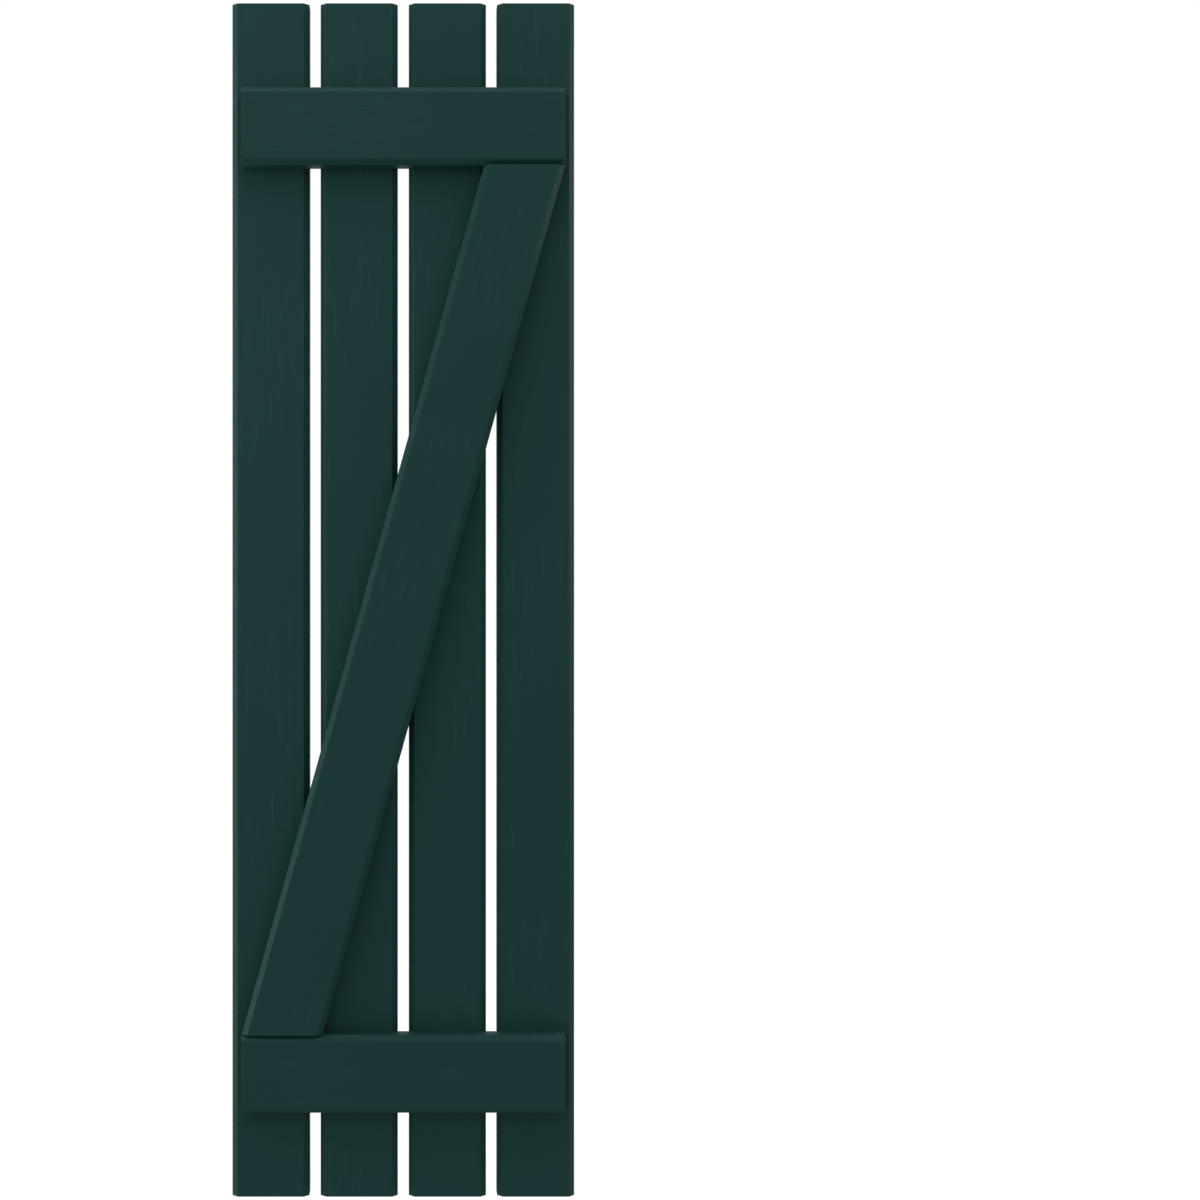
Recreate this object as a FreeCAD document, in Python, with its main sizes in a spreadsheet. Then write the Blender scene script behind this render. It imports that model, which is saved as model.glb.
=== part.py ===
import FreeCAD
import Part
import Sketcher
import os

# A board and batten shutter, seen from the front with +X to the right and +Z up.
# The wall is the plane y = 0, and the front of the shutter faces -Y.
# The origin is on the back of the left inner board, at the middle of its height.

# Driving dimensions, in millimetres and degrees
SIZES = {
    # Boards: upright, side by side, with an open gap between them
    "shutter_height": 1371.6,
    "board_width": 88.9,
    "board_thickness": 25.4,
    "board_gap": 12.7,
    "board_chamfer": 6.35,
    # Battens: set back from the shutter's ends, and inset from its two sides
    "batten_width": 88.9,
    "batten_thickness": 25.4,
    "batten_setback": 101.6,
    "batten_inset": 12.7,
    "batten_chamfer": 6.35,
    # Brace: as thick as the battens, so that the three fronts are flush
    "brace_width": 88.9,
    "brace_chamfer": 6.35,
    # Every edge but those of the backs is eased, so that paint holds on it
    "arris_radius": 0.8,
    # Countersunk screw holes, drilled from the back of the boards
    "screw_hole": 4.5,
    "screw_sink": 9.5,
    "screw_sink_angle": 90.0,
    "screw_to_board_edge": 28.0,
    "screw_to_batten_edge": 22.0,
    "screw_to_brace_end": 35.0,
}

# Boards from left to right
BOARDS = ("left_outer_board", "left_inner_board", "right_inner_board", "right_outer_board")
DATUM_BOARD = BOARDS.index("left_inner_board")
# The middle of the shutter, counted in boards from the first one and from the datum
MIDDLE = (len(BOARDS) - 1) / 2
MIDDLE_FROM_DATUM = MIDDLE - DATUM_BOARD

# Sizes that follow from the driving ones.
# The brace reaches from the lower left corner between the battens to the upper right one.
# Its lean from upright is the one at which its sides are brace_width apart there.
FORMULAS = {
    "board_pitch": "board_width + board_gap",
    "batten_length": f"{len(BOARDS)} * board_pitch - board_gap - 2 * batten_inset",
    "batten_level": "shutter_height / 2 - batten_setback - batten_width / 2",
    "brace_height": "2 * batten_level - batten_width",
    "brace_reach": "sqrt(batten_length ^ 2 + brace_height ^ 2) / 2",
    "brace_lean": "acos(brace_width / 2 / brace_reach) - atan2(brace_height; batten_length)",
    "brace_end": "brace_width / cos(brace_lean)",
    "brace_rise": "1 / tan(brace_lean)",
    "screw_across": "board_width / 2 - screw_to_board_edge",
    "screw_along": "batten_width / 2 - screw_to_batten_edge",
    "brace_screw_level": "brace_height / 2 - screw_to_brace_end",
    "brace_screw_limit": "brace_screw_level / brace_rise + brace_end / 2",
}

UPSIDE_DOWN = FreeCAD.Rotation(FreeCAD.Vector(0, 1, 0), 180)
SAME_PLANE = 0.001

doc = FreeCAD.newDocument("BoardAndBattenShutter")


def fill_sheet():
    """Write every size to the sheet, with its name beside it as its alias."""
    sheet = doc.addObject("Spreadsheet::Sheet", "Sizes")
    cells = {name: str(value) for name, value in SIZES.items()}
    cells.update({name: "=" + formula for name, formula in FORMULAS.items()})
    for row, (name, content) in enumerate(cells.items(), start=1):
        sheet.set(f"A{row}", name)
        sheet.set(f"B{row}", content)
        sheet.setAlias(f"B{row}", name)
    doc.recompute()


def bind(sketch, constraint, name, expression):
    """Add a named constraint whose value comes from the sheet."""
    index = sketch.addConstraint(constraint)
    sketch.renameConstraint(index, name)
    sketch.setExpression(f"Constraints.{name}", expression)


def new_sketch(body, name):
    """Start a sketch on the body's own back plane, where x is across and y is up."""
    sketch = body.newObject("Sketcher::SketchObject", f"{body.Label}_{name}")
    back = next(plane for plane in body.Origin.OriginFeatures if plane.Role == "XZ_Plane")
    sketch.AttachmentSupport = [(back, "")]
    sketch.MapMode = "FlatFace"
    return sketch


def draw_four_sides(sketch, corners):
    """Draw a closed outline through four corners, equal about the middle of the body."""
    points = [FreeCAD.Vector(across, up, 0) for across, up in corners]
    for start, end in zip(points, points[1:] + points[:1]):
        sketch.addGeometry(Part.LineSegment(start, end), False)
    for side in range(4):
        sketch.addConstraint(Sketcher.Constraint("Coincident", side, 2, (side + 1) % 4, 1))
    sketch.addConstraint(Sketcher.Constraint("Symmetric", 0, 1, 2, 1, -1, 1))
    sketch.addConstraint(Sketcher.Constraint("Symmetric", 1, 1, 3, 1, -1, 1))
    sketch.addConstraint(Sketcher.Constraint("Horizontal", 0))


def draw_rectangle(sketch, width, height):
    """Draw a rectangle of two sheet sizes about the middle of the body."""
    draw_four_sides(sketch, [(-1, -1), (1, -1), (1, 1), (-1, 1)])
    sketch.addConstraint(Sketcher.Constraint("Vertical", 1))
    bind(sketch, Sketcher.Constraint("DistanceX", 0, 1, 0, 2, 2), "width", f"Sizes.{width}")
    bind(sketch, Sketcher.Constraint("DistanceY", 1, 1, 1, 2, 2), "height", f"Sizes.{height}")


def pad_forward(body, sketch, thickness):
    """Raise an outline from the back plane towards the front."""
    pad = body.newObject("PartDesign::Pad", f"{body.Label}_pad")
    pad.Profile = sketch
    pad.setExpression("Length", f"Sizes.{thickness}")
    doc.recompute()
    return pad


def front_long_edges(shape):
    """Name the two edges of the front face that run along the piece."""
    front = shape.BoundBox.YMin + SAME_PLANE
    numbered = enumerate(shape.Edges, start=1)
    on_front = [(edge.Length, number) for number, edge in numbered if edge.BoundBox.YMax < front]
    return [f"Edge{number}" for length, number in sorted(on_front)[-2:]]


def edges_off_back(shape):
    """Name every edge that isn't an edge of the back face."""
    back = shape.BoundBox.YMax - SAME_PLANE
    numbered = enumerate(shape.Edges, start=1)
    return [f"Edge{number}" for number, edge in numbered if edge.BoundBox.YMin < back]


def dress_front(body, pad, chamfer_size):
    """Take off the long front edges at 45 degrees, then ease the arrises for the paint."""
    chamfer = body.newObject("PartDesign::Chamfer", f"{body.Label}_chamfer")
    chamfer.Base = (pad, front_long_edges(pad.Shape))
    chamfer.setExpression("Size", f"Sizes.{chamfer_size}")
    doc.recompute()
    arris = body.newObject("PartDesign::Fillet", f"{body.Label}_arris")
    arris.Base = (chamfer, edges_off_back(chamfer.Shape))
    arris.setExpression("Radius", "Sizes.arris_radius")
    doc.recompute()


def drill_from_back(body, places):
    """Drill a countersunk hole through the body at each place on its back."""
    sketch = new_sketch(body, "screw_places")
    for number, (across, up) in enumerate(places):
        circle = Part.Circle(FreeCAD.Vector(0, 0, 0), FreeCAD.Vector(0, 0, 1), 1)
        centre = (sketch.addGeometry(circle, False), 3)
        to_across = Sketcher.Constraint("DistanceX", -1, 1, *centre, 1)
        to_up = Sketcher.Constraint("DistanceY", -1, 1, *centre, 1)
        bind(sketch, to_across, f"across_{number}", across)
        bind(sketch, to_up, f"up_{number}", up)
        diameter = Sketcher.Constraint("Diameter", centre[0], 2)
        bind(sketch, diameter, f"diameter_{number}", "Sizes.screw_hole")
    whole = body.Tip.Shape.Volume
    hole = body.newObject("PartDesign::Hole", f"{body.Label}_screw_holes")
    hole.Profile = sketch
    doc.recompute()
    hole.ThreadType = "None"
    hole.DepthType = "ThroughAll"
    hole.Reversed = True
    hole.setExpression("Diameter", "Sizes.screw_hole")
    hole.HoleCutType = "Countersink"
    hole.HoleCutCustomValues = True
    hole.setExpression("HoleCutDiameter", "Sizes.screw_sink")
    hole.setExpression("HoleCutCountersinkAngle", "Sizes.screw_sink_angle")
    doc.recompute()
    if hole.Shape.Volume >= whole:
        raise RuntimeError(f"the screw holes of {body.Label} cut nothing")


def batten_screws():
    """Give the screws of a board in its battens: two in each, set askew across the grain."""
    places = []
    for end in (-1, 1):
        for side in (-1, 1):
            up = f"{end} * Sizes.batten_level + {side} * Sizes.screw_along"
            places.append((f"{side} * Sizes.screw_across", up))
    return places


def brace_screws(from_middle):
    """Give the screws in the brace of a board to the right of the middle.

    The brace crosses an inner board from edge to edge, and takes two on its own centre line.
    It ends on the outer board, and takes one there, halfway over the width that they share.
    """
    board_centre = f"{from_middle} * Sizes.board_pitch"
    if from_middle > 1:
        shared = f"Sizes.brace_screw_limit - Sizes.board_width / 2 - {board_centre}"
        return [(f"({shared}) / 2", "Sizes.brace_screw_level")]
    places = []
    for side in (-1, 1):
        across = f"{side} * Sizes.screw_across"
        places.append((across, f"({board_centre} + {across}) * Sizes.brace_rise"))
    return places


def make_board(position, label):
    """Make one board. The left half is the right half turned upside down."""
    from_middle = position - MIDDLE
    body = doc.addObject("PartDesign::Body", label)
    outline = new_sketch(body, "outline")
    draw_rectangle(outline, "board_width", "shutter_height")
    pad = pad_forward(body, outline, "board_thickness")
    dress_front(body, pad, "board_chamfer")
    drill_from_back(body, batten_screws() + brace_screws(abs(from_middle)))
    if from_middle < 0:
        body.Placement.Rotation = UPSIDE_DOWN
    body.setExpression("Placement.Base.x", f"{position - DATUM_BOARD} * Sizes.board_pitch")
    return body


def set_on_boards(body):
    """Centre a piece across the shutter, with its back on the fronts of the boards."""
    body.setExpression("Placement.Base.x", f"{MIDDLE_FROM_DATUM} * Sizes.board_pitch")
    body.setExpression("Placement.Base.y", "-Sizes.board_thickness")


def make_batten(label, end):
    """Make the batten at the top (end 1) or at the bottom (end -1) of the shutter."""
    body = doc.addObject("PartDesign::Body", label)
    outline = new_sketch(body, "outline")
    draw_rectangle(outline, "batten_length", "batten_width")
    pad = pad_forward(body, outline, "batten_thickness")
    dress_front(body, pad, "batten_chamfer")
    set_on_boards(body)
    body.setExpression("Placement.Base.z", f"{end} * Sizes.batten_level")
    return body


def make_brace(label):
    """Make the brace, with level ends that butt against the battens."""
    body = doc.addObject("PartDesign::Body", label)
    outline = new_sketch(body, "outline")
    draw_four_sides(outline, [(-3, -9), (-1, -9), (3, 9), (1, 9)])
    bottom = Sketcher.Constraint("DistanceX", 0, 1, 0, 2, 2)
    bind(outline, bottom, "end", "Sizes.brace_end")
    across = Sketcher.Constraint("DistanceX", 0, 1, 2, 1, 6)
    bind(outline, across, "across", "Sizes.batten_length")
    height = Sketcher.Constraint("DistanceY", 0, 1, 2, 1, 18)
    bind(outline, height, "height", "Sizes.brace_height")
    pad = pad_forward(body, outline, "batten_thickness")
    dress_front(body, pad, "brace_chamfer")
    set_on_boards(body)
    return body


def check_and_export(bodies):
    """Stop on any failed object, then write each piece to a file of its own name."""
    for thing in doc.Objects:
        if {"Invalid", "Error"} & set(thing.State):
            raise RuntimeError(f"{thing.Label} failed")
    for body in bodies:
        if body.Shape.isNull() or not body.Shape.isValid() or len(body.Shape.Solids) != 1:
            raise RuntimeError(f"{body.Label} is not one sound solid")
    os.makedirs("parts", exist_ok=True)
    for body in bodies:
        body.Shape.exportStep(f"parts/{body.Label}.step")


fill_sheet()
pieces = [make_board(position, label) for position, label in enumerate(BOARDS)]
pieces.append(make_batten("top_batten", 1))
pieces.append(make_batten("bottom_batten", -1))
pieces.append(make_brace("diagonal_brace"))
doc.recompute()
check_and_export(pieces)
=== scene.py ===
import math

import bpy
from bpy.props import FloatProperty, FloatVectorProperty, PointerProperty
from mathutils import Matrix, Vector


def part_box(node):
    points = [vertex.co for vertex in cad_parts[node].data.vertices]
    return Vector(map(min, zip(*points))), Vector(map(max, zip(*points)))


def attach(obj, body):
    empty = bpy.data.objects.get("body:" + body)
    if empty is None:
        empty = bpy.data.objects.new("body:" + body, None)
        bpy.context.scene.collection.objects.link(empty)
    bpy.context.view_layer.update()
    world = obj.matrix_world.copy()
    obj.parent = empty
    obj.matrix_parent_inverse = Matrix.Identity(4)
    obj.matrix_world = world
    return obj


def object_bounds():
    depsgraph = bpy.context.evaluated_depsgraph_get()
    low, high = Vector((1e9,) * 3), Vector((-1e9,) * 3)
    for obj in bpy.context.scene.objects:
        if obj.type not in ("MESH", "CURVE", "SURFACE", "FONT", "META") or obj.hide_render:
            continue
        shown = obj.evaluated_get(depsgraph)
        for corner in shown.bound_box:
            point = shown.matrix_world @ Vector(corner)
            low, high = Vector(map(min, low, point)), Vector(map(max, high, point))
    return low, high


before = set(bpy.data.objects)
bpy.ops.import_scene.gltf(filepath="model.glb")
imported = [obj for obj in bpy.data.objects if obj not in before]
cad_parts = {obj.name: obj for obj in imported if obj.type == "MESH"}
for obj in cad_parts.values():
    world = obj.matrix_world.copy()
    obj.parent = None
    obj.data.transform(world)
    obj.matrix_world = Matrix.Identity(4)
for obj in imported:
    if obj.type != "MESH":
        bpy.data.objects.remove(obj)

bl_info = {
    "name": "Board and batten shutter",
    "version": (1, 0, 0),
    "blender": (4, 5, 0),
    "location": "3D View > Sidebar > Shutter",
    "description": "Paints a board and batten shutter, drives its screws and sets a plain stage for it",
    "category": "Object",
}

MM = 0.001

# The shutter's own box and pieces, from the frame
LOW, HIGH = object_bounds()
MIDDLE = (LOW + HIGH) / 2
HEIGHT = HIGH.z - LOW.z
BOARDS = sorted(
    (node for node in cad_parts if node.endswith("_board")), key=lambda node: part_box(node)[0].x)
BATTENS = [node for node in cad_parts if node.endswith("_batten")]
BRACE = "diagonal_brace"

# How far the grain of a piece is turned from upright, about the Y axis
UPRIGHT_GRAIN = 0.0
LEVEL_GRAIN = math.radians(90)

BOARD_FINISH = "satin_acrylic_on_planed_pine_boards"
BATTEN_FINISH = "satin_acrylic_on_planed_pine_battens"
BRACE_FINISH = "satin_acrylic_on_planed_pine_brace"

# Where the noise under the paint starts to count, and where it counts in full: for a stroke of
# raised grain, for a patch that shows its strokes, and for the film's roughness
STROKE_RANGE = (0.54, 0.72)
PATCH_RANGE = (0.42, 0.62)
CLOUD_RANGE = (0.3, 0.7)

# How squarely a face looks along the grain where it starts to be a sawn end, and where it is one
END_RANGE = (0.8, 0.98)

# How far the film's roughness swings either way, and the roughness of a sawn end
ROUGHNESS_SWING = 0.06
END_ROUGHNESS = 0.8

# Sockets of a Mix node, by number, because those for each kind of data have the same names
VALUE_A, VALUE_B = 2, 3
COLOUR_A, COLOUR_B = 6, 7
MIXED_COLOUR = 2

# How the countersinks are told from a board's other corners
FACE_TOLERANCE = 0.01 * MM
EDGE_MARGIN = 3 * MM
RIM_REACH = 12 * MM

# Shape of a screw's head and recess
SCREW_SIDES = 24
RIM_SHARE = 0.05
RECESS_TAPER = (0.35, 0.6, 1)
SMOOTH_ANGLE = math.radians(40)

# A face looks down where the upright part of its normal is under this
DOWNWARD = -0.5

# Turns each screw's recess differently from the last
GOLDEN_ANGLE = math.radians(137.5)


def linear(colour):
    """Turn an sRGB hex colour into linear red, green and blue."""
    channels = [int(colour[at:at + 2], 16) / 255 for at in (1, 3, 5)]
    return tuple(c / 12.92 if c <= 0.04045 else ((c + 0.055) / 1.055) ** 2.4 for c in channels)


class PaintSettings(bpy.types.PropertyGroup):
    """The paint, and the timber that shows faintly through it"""

    colour: FloatVectorProperty(
        name="Paint", description="Colour of the paint where it lies thick", subtype="COLOR", size=3,
        min=0, max=1, default=linear("#143332"))
    thin_colour: FloatVectorProperty(
        name="Thin paint", description="Colour of the paint where the spray left it thinner", subtype="COLOR",
        size=3, min=0, max=1, default=linear("#163533"))
    grain_colour: FloatVectorProperty(
        name="Raised grain", description="Colour of the paint over raised grain", subtype="COLOR", size=3,
        min=0, max=1, default=linear("#1B3B39"))
    end_colour: FloatVectorProperty(
        name="End grain", description="Colour of the paint that has soaked into sawn ends", subtype="COLOR",
        size=3, min=0, max=1, default=linear("#0F2B29"))
    roughness: FloatProperty(
        name="Roughness", description="Roughness of the paint film", subtype="FACTOR", min=0, max=1,
        default=0.52)
    specular: FloatProperty(
        name="Specular", description="Strength of the film's reflections", subtype="FACTOR", min=0, max=1,
        default=0.06)
    grain_width: FloatProperty(
        name="Grain width", description="Width of one stroke of raised grain", unit="LENGTH", default=3 * MM)
    grain_length: FloatProperty(
        name="Grain length", description="Length of one stroke of raised grain", unit="LENGTH",
        default=45 * MM)
    grain_height: FloatProperty(
        name="Grain height", description="How far grain stands up under the paint", unit="LENGTH",
        default=0.03 * MM)
    peel_size: FloatProperty(
        name="Peel size", description="Size of the dimples of sprayed paint", unit="LENGTH", default=3 * MM)
    peel_height: FloatProperty(
        name="Peel height", description="Depth of the dimples of sprayed paint", unit="LENGTH",
        default=0.006 * MM)
    cloud_size: FloatProperty(
        name="Cloud size", description="Size of the uneven patches that a spray gun leaves", unit="LENGTH",
        default=160 * MM)
    pore_size: FloatProperty(
        name="Pore size", description="Size of the pores on sawn ends", unit="LENGTH", default=2 * MM)


class ScrewSettings(bpy.types.PropertyGroup):
    """The countersunk screws in the backs of the boards"""

    head_diameter: FloatProperty(
        name="Head", description="Diameter of the head", unit="LENGTH", default=8.4 * MM)
    shank_diameter: FloatProperty(
        name="Shank", description="Diameter of the shank", unit="LENGTH", default=4 * MM)
    length: FloatProperty(
        name="Length", description="Length of the screw that lies in its hole", unit="LENGTH",
        default=24 * MM)
    drop: FloatProperty(
        name="Drop", description="How deep the head lies below the wood", unit="LENGTH", default=0.3 * MM)
    recess_span: FloatProperty(
        name="Recess span", description="Length of each bar of the cross recess", unit="LENGTH",
        default=4.8 * MM)
    recess_width: FloatProperty(
        name="Recess width", description="Width of each bar of the cross recess", unit="LENGTH",
        default=1.3 * MM)
    recess_depth: FloatProperty(
        name="Recess depth", description="Depth of the cross recess", unit="LENGTH", default=2.2 * MM)


class StageSettings(bpy.types.PropertyGroup):
    """The floor, the light and the camera"""

    floor_colour: FloatVectorProperty(
        name="Floor", description="Colour of the floor", subtype="COLOR", size=3, min=0, max=1,
        default=linear("#BCBCBC"))
    floor_glow: FloatProperty(
        name="Floor glow", description="Light that the far floor adds of its own, only where it is seen",
        default=0.54)
    glow_start: FloatProperty(
        name="Glow start", description="How far from the shutter's foot the glow starts to rise from half",
        unit="LENGTH", default=0.5)
    glow_full: FloatProperty(
        name="Glow full", description="How far from the shutter's foot the glow is full", unit="LENGTH",
        default=1.7)
    floor_drop: FloatProperty(
        name="Floor drop", description="How far the floor lies below the shutter", unit="LENGTH",
        default=0.35)
    floor_size: FloatProperty(
        name="Floor size", description="Length of each side of the floor", unit="LENGTH", default=60)
    world_strength: FloatProperty(
        name="World", description="Strength of the even light from all round, where 1 is white", default=1)
    top_strength: FloatProperty(
        name="Top light", description="Brightness of the softbox overhead", default=2)
    left_strength: FloatProperty(
        name="Left light", description="Brightness of the tall strip level with the shutter", default=2.55)
    left_fill_strength: FloatProperty(
        name="Left fill", description="Brightness of the softbox at the upper left", default=2.4)
    right_strength: FloatProperty(
        name="Right light", description="Brightness of the softbox at the upper right, behind the shutter",
        default=5.1)
    camera_distance: FloatProperty(
        name="Camera distance", description="Distance from the camera to the shutter's back", unit="LENGTH",
        default=2.2704)
    camera_lens: FloatProperty(
        name="Lens", description="Focal length in millimetres on a 36 mm sensor", default=58.62)
    camera_shift: FloatProperty(
        name="Shift", description="How far the shutter stands left of the middle, as a share of the picture",
        default=0.1639)


def add_node(tree, kind, inputs=None, **settings):
    """Add a node with its settings, and set or link its input sockets."""
    node = tree.nodes.new(kind)
    for name, value in settings.items():
        setattr(node, name, value)
    for socket, value in (inputs or {}).items():
        if isinstance(value, bpy.types.NodeSocket):
            tree.links.new(value, node.inputs[socket])
        else:
            node.inputs[socket].default_value = value
    return node


# Acrylic exterior paint with a satin surface, sprayed on planed pine. To the eye it is an even dark
# green with a soft, broad sheen at a low angle and almost none square on. Short strokes of raised
# grain show through it here and there, the spray leaves faint clouds and dimples, and sawn ends
# drink the paint, so they are darker and duller.
def satin_acrylic_on_planed_pine(name, grain_turn):
    """Make the paint for pieces whose grain is turned from upright by an angle."""
    paint = bpy.context.scene.shutter_paint
    material = bpy.data.materials.new(name)
    material.use_nodes = True
    tree = material.node_tree
    tree.nodes.clear()
    coordinates = add_node(tree, "ShaderNodeTexCoord")
    place = coordinates.outputs["Object"]

    # Clouds and dimples of the sprayed film
    clouds = add_node(
        tree, "ShaderNodeTexNoise", {"Vector": place, "Scale": 1 / paint.cloud_size, "Detail": 2})
    dimples = add_node(
        tree, "ShaderNodeTexNoise", {"Vector": place, "Scale": 1 / paint.peel_size, "Detail": 1})

    # Strokes of raised grain in scattered patches, drawn wider than real fibres so that they show
    stroke_size = (paint.grain_width, paint.grain_width, paint.grain_length)
    along = add_node(
        tree, "ShaderNodeMapping", {"Vector": place, "Rotation": (0, grain_turn, 0), "Scale": stroke_size},
        vector_type="TEXTURE")
    fibres = add_node(
        tree, "ShaderNodeTexNoise", {"Vector": along.outputs[0], "Scale": 1, "Detail": 2, "Roughness": 0.6})
    raised = add_node(
        tree, "ShaderNodeMapRange", {"Value": fibres.outputs[0], "From Min": STROKE_RANGE[0],
                                     "From Max": STROKE_RANGE[1]})
    patches = add_node(
        tree, "ShaderNodeMapRange", {"Value": clouds.outputs[0], "From Min": PATCH_RANGE[0],
                                     "From Max": PATCH_RANGE[1]})
    grain = add_node(
        tree, "ShaderNodeMath", {0: raised.outputs[0], 1: patches.outputs[0]}, operation="MULTIPLY")

    # Sawn ends face along the grain
    facing = add_node(
        tree, "ShaderNodeMapping", {"Vector": coordinates.outputs["Normal"], "Rotation": (0, grain_turn, 0)},
        vector_type="TEXTURE")
    facing_parts = add_node(tree, "ShaderNodeSeparateXYZ", {"Vector": facing.outputs[0]})
    facing_end = add_node(tree, "ShaderNodeMath", {0: facing_parts.outputs["Z"]}, operation="ABSOLUTE")
    is_end = add_node(
        tree, "ShaderNodeMapRange", {"Value": facing_end.outputs[0], "From Min": END_RANGE[0],
                                     "From Max": END_RANGE[1]})

    # Open pores of sawn ends, drawn coarser than real so that they show
    pores = add_node(
        tree, "ShaderNodeTexNoise", {"Vector": place, "Scale": 1 / paint.pore_size, "Detail": 2,
                                     "Roughness": 0.7})

    # Colour
    film = add_node(
        tree, "ShaderNodeMix", {"Factor": clouds.outputs[0], COLOUR_A: (*paint.colour, 1),
                                COLOUR_B: (*paint.thin_colour, 1)},
        data_type="RGBA")
    face = add_node(
        tree, "ShaderNodeMix", {"Factor": grain.outputs[0], COLOUR_A: film.outputs[MIXED_COLOUR],
                                COLOUR_B: (*paint.grain_colour, 1)},
        data_type="RGBA")
    soaked = add_node(
        tree, "ShaderNodeMix", {"Factor": pores.outputs[0], COLOUR_A: (*paint.end_colour, 1),
                                COLOUR_B: film.outputs[MIXED_COLOUR]},
        data_type="RGBA")
    colour = add_node(
        tree, "ShaderNodeMix", {"Factor": is_end.outputs[0], COLOUR_A: face.outputs[MIXED_COLOUR],
                                COLOUR_B: soaked.outputs[MIXED_COLOUR]},
        data_type="RGBA")

    # Roughness, a little higher in the thin patches and much higher on sawn ends
    film_roughness = add_node(
        tree, "ShaderNodeMapRange", {"Value": clouds.outputs[0], "From Min": CLOUD_RANGE[0],
                                     "From Max": CLOUD_RANGE[1],
                                     "To Min": paint.roughness - ROUGHNESS_SWING,
                                     "To Max": paint.roughness + ROUGHNESS_SWING})
    roughness = add_node(
        tree, "ShaderNodeMix", {"Factor": is_end.outputs[0], VALUE_A: film_roughness.outputs[0],
                                VALUE_B: END_ROUGHNESS})

    # Relief, in metres
    grain_relief = add_node(
        tree, "ShaderNodeMath", {0: grain.outputs[0], 1: paint.grain_height}, operation="MULTIPLY")
    relief = add_node(
        tree, "ShaderNodeMath", {0: dimples.outputs[0], 1: paint.peel_height, 2: grain_relief.outputs[0]},
        operation="MULTIPLY_ADD")
    bump = add_node(tree, "ShaderNodeBump", {"Height": relief.outputs[0], "Distance": 1, "Strength": 1})

    surface = add_node(
        tree, "ShaderNodeBsdfPrincipled", {"Base Color": colour.outputs[MIXED_COLOUR],
                                           "Roughness": roughness.outputs[0],
                                           "Normal": bump.outputs[0], "IOR": 1.5,
                                           "Specular IOR Level": paint.specular})
    add_node(tree, "ShaderNodeOutputMaterial", {"Surface": surface.outputs[0]})
    return material


def cover(node, material):
    """Give a CAD node one material all over."""
    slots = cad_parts[node].data.materials
    slots.clear()
    slots.append(material)


class SHUTTER_OT_paint_boards(bpy.types.Operator):
    """Paint the upright boards, whose grain runs up them"""

    bl_idname = "shutter.paint_boards"
    bl_label = "Paint boards"

    def execute(self, context):
        material = satin_acrylic_on_planed_pine(BOARD_FINISH, UPRIGHT_GRAIN)
        for node in BOARDS:
            cover(node, material)
        return {"FINISHED"}


class SHUTTER_OT_paint_battens(bpy.types.Operator):
    """Paint the battens, whose grain runs level"""

    bl_idname = "shutter.paint_battens"
    bl_label = "Paint battens"

    def execute(self, context):
        material = satin_acrylic_on_planed_pine(BATTEN_FINISH, LEVEL_GRAIN)
        for node in BATTENS:
            cover(node, material)
        return {"FINISHED"}


def brace_lean():
    """Read from its mesh how far the brace leans from upright, as an angle."""
    low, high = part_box(BRACE)
    foot = [v.co.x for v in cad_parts[BRACE].data.vertices if v.co.z < low.z + FACE_TOLERANCE]
    run = high.x - low.x - (max(foot) - min(foot))
    return math.atan2(run, high.z - low.z)


class SHUTTER_OT_paint_brace(bpy.types.Operator):
    """Paint the brace, whose grain runs along its slope"""

    bl_idname = "shutter.paint_brace"
    bl_label = "Paint brace"

    def execute(self, context):
        cover(BRACE, satin_acrylic_on_planed_pine(BRACE_FINISH, brace_lean()))
        return {"FINISHED"}


def find_holes(board):
    """Find the countersinks in a board's back, from the rims in its CAD mesh."""
    low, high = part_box(board)
    centre = (low + high) / 2
    reach = (high - low) / 2
    rims = []
    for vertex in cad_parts[board].data.vertices:
        place = vertex.co.copy()
        on_back = place.y > high.y - FACE_TOLERANCE
        off_edges = abs(place.x - centre.x) < reach.x - EDGE_MARGIN
        off_ends = abs(place.z - centre.z) < reach.z - EDGE_MARGIN
        if not (on_back and off_edges and off_ends):
            continue
        same_rim = [rim for rim in rims if (rim[0] - place).length < RIM_REACH]
        if same_rim:
            same_rim[0].append(place)
        else:
            rims.append([place])
    if not rims:
        raise RuntimeError(f"no screw holes found in {board}")
    holes = []
    for rim in rims:
        across = [place.x for place in rim]
        up = [place.z for place in rim]
        holes.append(Vector(((min(across) + max(across)) / 2, high.y, (min(up) + max(up)) / 2)))
    return sorted(holes, key=lambda hole: hole.z)


def model_blank(screws):
    """Model a countersunk screw with no recess, its head at the origin and facing up."""
    head = screws.head_diameter / 2
    shank = screws.shank_diameter / 2
    bpy.ops.object.select_all(action="DESELECT")
    bpy.ops.mesh.primitive_circle_add(
        vertices=SCREW_SIDES, radius=shank, fill_type="NGON", location=(0, 0, -screws.length))
    bpy.ops.object.transform_apply(location=True, rotation=False, scale=False)
    bpy.ops.object.mode_set(mode="EDIT")
    bpy.ops.mesh.select_mode(type="FACE")
    bpy.ops.mesh.select_all(action="SELECT")

    # Up the shank, out along the cone to the head, and in over the rounded rim
    rim = RIM_SHARE * head
    cone = head - shank
    for rise, spread in ((screws.length - cone, 1), (cone - rim, head / shank), (rim, 1 - RIM_SHARE)):
        bpy.ops.mesh.extrude_region_move(TRANSFORM_OT_translate={"value": (0, 0, rise)})
        bpy.ops.transform.resize(value=(spread, spread, 1), center_override=(0, 0, 0))
    bpy.ops.mesh.select_all(action="SELECT")
    bpy.ops.mesh.normals_make_consistent(inside=False)
    bpy.ops.object.mode_set(mode="OBJECT")
    return bpy.context.object


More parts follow.
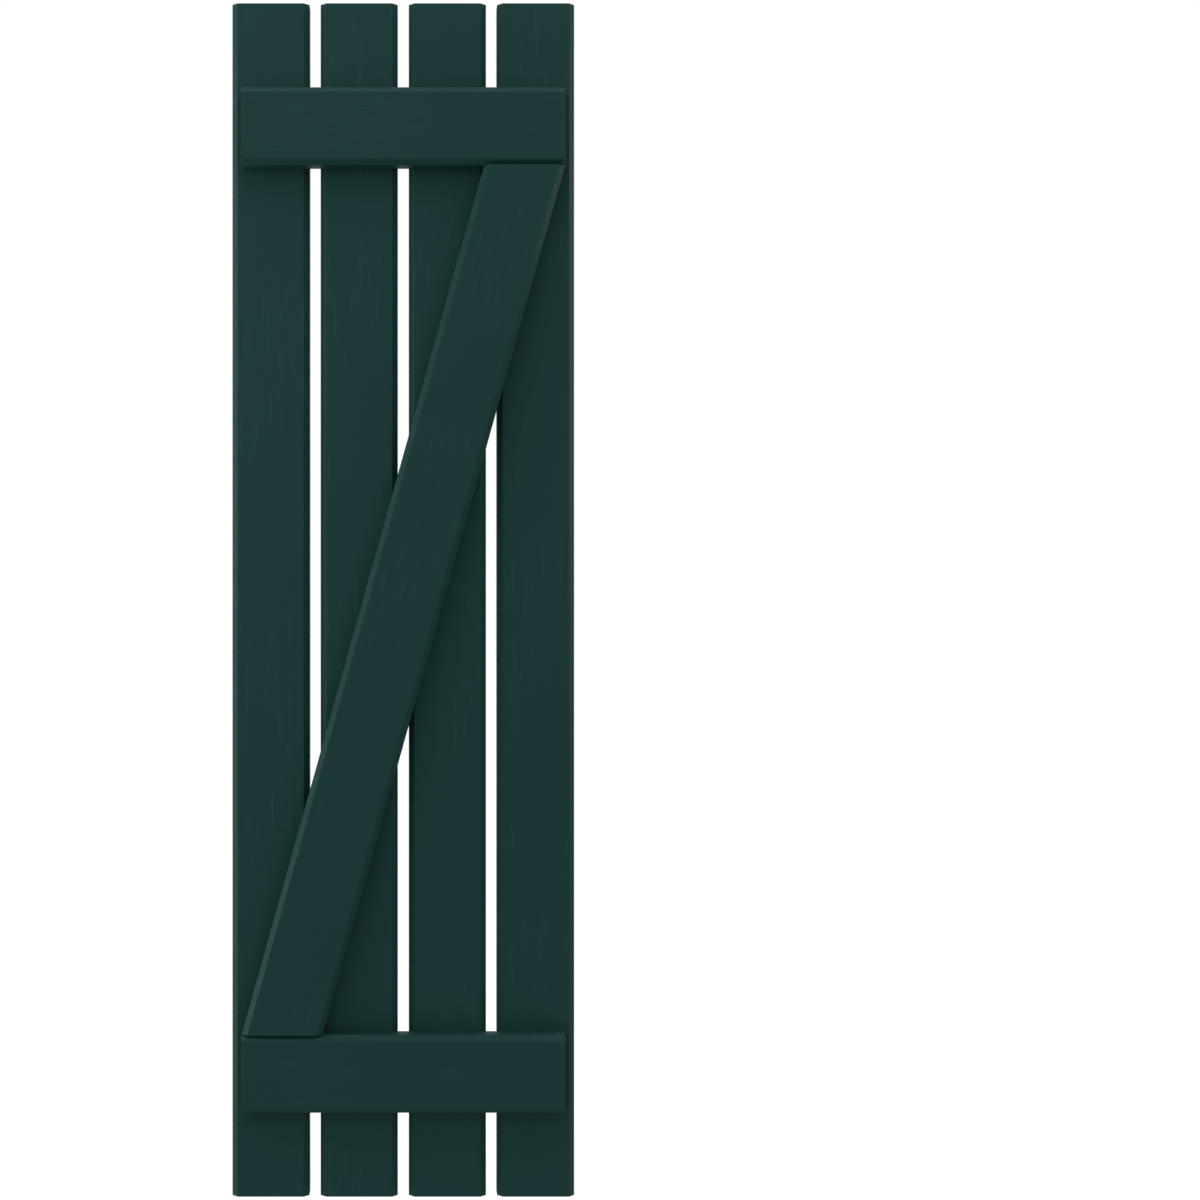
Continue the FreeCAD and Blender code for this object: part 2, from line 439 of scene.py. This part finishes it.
def model_recess_bar(screws):
    """Model one tapered bar of the cross recess, half above the head and half in it."""
    bpy.ops.object.select_all(action="DESELECT")
    bpy.ops.mesh.primitive_cube_add(size=1)
    bar = bpy.context.object
    bar.scale = (screws.recess_span, screws.recess_width, 2 * screws.recess_depth)
    bpy.ops.object.transform_apply(location=False, rotation=False, scale=True)
    bpy.ops.object.mode_set(mode="EDIT")
    bpy.ops.mesh.select_all(action="DESELECT")
    bpy.ops.object.mode_set(mode="OBJECT")
    for face in bar.data.polygons:
        face.select = face.normal.z < DOWNWARD
    bpy.ops.object.mode_set(mode="EDIT")
    bpy.ops.transform.resize(value=RECESS_TAPER)
    bpy.ops.object.mode_set(mode="OBJECT")
    return bar


def model_screw(screws, material):
    """Model one countersunk screw, its head at the origin and facing +Y."""
    screw = model_blank(screws)
    bar = model_recess_bar(screws)
    bpy.context.view_layer.objects.active = screw
    for turn in (0, 90):
        bar.rotation_euler = (0, 0, math.radians(turn))
        bpy.ops.object.modifier_add(type="BOOLEAN")
        cut = screw.modifiers[-1]
        cut.operation = "DIFFERENCE"
        cut.solver = "EXACT"
        cut.object = bar
        bpy.ops.object.modifier_apply(modifier=cut.name)
    bpy.data.objects.remove(bar)

    # Turn the head to the back of the shutter
    screw.rotation_euler = (math.radians(-90), 0, 0)
    bpy.ops.object.select_all(action="DESELECT")
    screw.select_set(True)
    bpy.ops.object.transform_apply(location=True, rotation=True, scale=True)
    bpy.ops.object.shade_smooth_by_angle(angle=SMOOTH_ANGLE)
    screw.data.materials.append(material)
    return screw


class SHUTTER_OT_drive_screws(bpy.types.Operator):
    """Drive a countersunk screw into each hole in the boards' backs, painted over with the boards"""

    bl_idname = "shutter.drive_screws"
    bl_label = "Drive screws"

    def execute(self, context):
        screws = context.scene.shutter_screws
        pattern = model_screw(screws, bpy.data.materials[BOARD_FINISH])
        turn = 0
        for board in BOARDS:
            copies = []
            for hole in find_holes(board):
                bpy.ops.object.select_all(action="DESELECT")
                pattern.select_set(True)
                context.view_layer.objects.active = pattern
                bpy.ops.object.duplicate()
                copy = context.object
                copy.location = hole - Vector((0, screws.drop, 0))
                copy.rotation_euler = (0, turn, 0)
                turn += GOLDEN_ANGLE
                copies.append(copy)
            bpy.ops.object.select_all(action="DESELECT")
            for copy in copies:
                copy.select_set(True)
            context.view_layer.objects.active = copies[0]
            bpy.ops.object.join()
            bpy.ops.object.transform_apply(location=True, rotation=True, scale=True)
            row = context.object
            row.name = board.replace("_board", "_screws")
            row.data.name = row.name
            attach(row, "root")
        bpy.data.objects.remove(pattern)
        return {"FINISHED"}


def seen_rays(tree):
    """Join the kinds of ray by which the floor is seen, as one output socket."""
    rays = add_node(tree, "ShaderNodeLightPath").outputs
    seen = rays["Is Camera Ray"]
    for kind in ("Is Glossy Ray", "Is Transmission Ray"):
        seen = add_node(tree, "ShaderNodeMath", {0: seen, 1: rays[kind]}, operation="MAXIMUM").outputs[0]
    return seen


# Matt studio paper, which shows white where it is lit and grey in the shutter's shadow. Away from
# the lamps it glows a little, but only where it is seen, so that it meets the white background
# without a line.
def matt_studio_paper(stage):
    """Make the floor's material."""
    material = bpy.data.materials.new("matt_studio_paper")
    material.use_nodes = True
    tree = material.node_tree
    tree.nodes.clear()
    coordinates = add_node(tree, "ShaderNodeTexCoord")
    from_foot = add_node(
        tree, "ShaderNodeMapping", {"Vector": coordinates.outputs["Object"],
                                    "Location": (MIDDLE.x, MIDDLE.y, LOW.z - stage.floor_drop)},
        vector_type="TEXTURE")
    distance = add_node(tree, "ShaderNodeVectorMath", {0: from_foot.outputs[0]}, operation="LENGTH")
    glow_strength = add_node(
        tree, "ShaderNodeMapRange", {"Value": distance.outputs["Value"], "From Min": stage.glow_start,
                                     "From Max": stage.glow_full, "To Min": stage.floor_glow / 2,
                                     "To Max": stage.floor_glow},
        interpolation_type="SMOOTHSTEP")
    glow = add_node(
        tree, "ShaderNodeEmission", {"Color": (1, 1, 1, 1), "Strength": glow_strength.outputs[0]})
    paper = add_node(tree, "ShaderNodeBsdfDiffuse", {"Color": (*stage.floor_colour, 1)})
    bright = add_node(tree, "ShaderNodeAddShader", {0: paper.outputs[0], 1: glow.outputs[0]})
    mixed = add_node(
        tree, "ShaderNodeMixShader", {0: seen_rays(tree), 1: paper.outputs[0], 2: bright.outputs[0]})
    add_node(tree, "ShaderNodeOutputMaterial", {"Surface": mixed.outputs[0]})
    return material


def lay_floor(stage):
    """Lay a floor well below the shutter, so that its shadow stays out of the front view."""
    bpy.ops.object.select_all(action="DESELECT")
    bpy.ops.mesh.primitive_plane_add(
        size=stage.floor_size, location=(MIDDLE.x, MIDDLE.y, LOW.z - stage.floor_drop))
    bpy.ops.object.transform_apply(location=True, rotation=True, scale=True)
    floor = bpy.context.object
    floor.name = "studio_floor"
    floor.data.materials.append(matt_studio_paper(stage))


def light_world(stage):
    """An even white light from all round, which is the white background too."""
    world = bpy.data.worlds.new("white_studio")
    bpy.context.scene.world = world
    world.use_nodes = True
    tree = world.node_tree
    tree.nodes.clear()
    background = add_node(
        tree, "ShaderNodeBackground", {"Color": (1, 1, 1, 1), "Strength": stage.world_strength})
    add_node(tree, "ShaderNodeOutputWorld", {"Surface": background.outputs[0]})


def hang_softbox(name, offset, aim, size, strength):
    """Hang an area lamp at an offset from the shutter's middle, and turn it to its aim.

    The aim starts from the middle too. Offset, aim and size are in heights of the shutter.
    A strength of 1 is as bright as the white background.
    """
    place = HEIGHT * Vector(offset)
    width, height = (HEIGHT * side for side in size)
    data = bpy.data.lights.new(name, "AREA")
    data.shape = "RECTANGLE"
    data.size = width
    data.size_y = height
    data.energy = strength * width * height * math.pi
    lamp = bpy.data.objects.new(name, data)
    bpy.context.scene.collection.objects.link(lamp)
    lamp.location = MIDDLE + place
    lamp.rotation_euler = (HEIGHT * Vector(aim) - place).to_track_quat("-Z", "Y").to_euler()
    lamp.visible_camera = False


def hang_lights(stage):
    """Hang a plain set of softboxes above and on both sides of the shutter."""
    hang_softbox(
        "top_softbox", offset=(0, -0.36, 1.39), aim=(0, -0.07, 0.44), size=(1.75, 0.875),
        strength=stage.top_strength)
    hang_softbox(
        "left_strip", offset=(-0.8, 0, 0), aim=(0, 0, 0), size=(0.44, 1.31),
        strength=stage.left_strength)
    hang_softbox(
        "left_softbox", offset=(-0.8, -0.44, 0.33), aim=(0, 0, 0.33), size=(0.44, 0.66),
        strength=stage.left_fill_strength)
    hang_softbox(
        "right_softbox", offset=(0.66, 0.4, 0.33), aim=(0, 0, 0.33), size=(0.44, 0.66),
        strength=stage.right_strength)


def set_camera(stage):
    """A camera square to the shutter, level with its middle."""
    data = bpy.data.cameras.new("front_camera")
    data.lens = stage.camera_lens
    data.shift_x = stage.camera_shift
    camera = bpy.data.objects.new("front_camera", data)
    bpy.context.scene.collection.objects.link(camera)
    camera.location = (MIDDLE.x, HIGH.y - stage.camera_distance, MIDDLE.z)
    camera.rotation_euler = (math.radians(90), 0, 0)
    bpy.context.scene.camera = camera


class SHUTTER_OT_set_stage(bpy.types.Operator):
    """Lay a pale floor, hang the lights and set the camera"""

    bl_idname = "shutter.set_stage"
    bl_label = "Set stage"

    def execute(self, context):
        stage = context.scene.shutter_stage
        lay_floor(stage)
        light_world(stage)
        hang_lights(stage)
        set_camera(stage)
        context.scene.view_settings.view_transform = "Standard"
        return {"FINISHED"}


class SHUTTER_PT_build(bpy.types.Panel):
    """Lists the shutter's settings and the steps that use them"""

    bl_idname = "SHUTTER_PT_build"
    bl_label = "Board and batten shutter"
    bl_space_type = "VIEW_3D"
    bl_region_type = "UI"
    bl_category = "Shutter"

    def draw(self, context):
        scene = context.scene
        groups = (
            (scene.shutter_paint, ("shutter.paint_boards", "shutter.paint_battens", "shutter.paint_brace")),
            (scene.shutter_screws, ("shutter.drive_screws",)),
            (scene.shutter_stage, ("shutter.set_stage",)),
        )
        for settings, steps in groups:
            box = self.layout.box()
            for name in settings.__annotations__:
                box.prop(settings, name)
            for step in steps:
                box.operator(step)


CLASSES = (
    PaintSettings,
    ScrewSettings,
    StageSettings,
    SHUTTER_OT_paint_boards,
    SHUTTER_OT_paint_battens,
    SHUTTER_OT_paint_brace,
    SHUTTER_OT_drive_screws,
    SHUTTER_OT_set_stage,
    SHUTTER_PT_build,
)


def register():
    for kind in CLASSES:
        bpy.utils.register_class(kind)
    bpy.types.Scene.shutter_paint = PointerProperty(type=PaintSettings)
    bpy.types.Scene.shutter_screws = PointerProperty(type=ScrewSettings)
    bpy.types.Scene.shutter_stage = PointerProperty(type=StageSettings)


def unregister():
    del bpy.types.Scene.shutter_stage
    del bpy.types.Scene.shutter_screws
    del bpy.types.Scene.shutter_paint
    for kind in reversed(CLASSES):
        bpy.utils.unregister_class(kind)


def main():
    register()
    bpy.ops.shutter.paint_boards()
    bpy.ops.shutter.paint_battens()
    bpy.ops.shutter.paint_brace()
    bpy.ops.shutter.drive_screws()
    bpy.ops.shutter.set_stage()


if __name__ == "__main__":
    main()
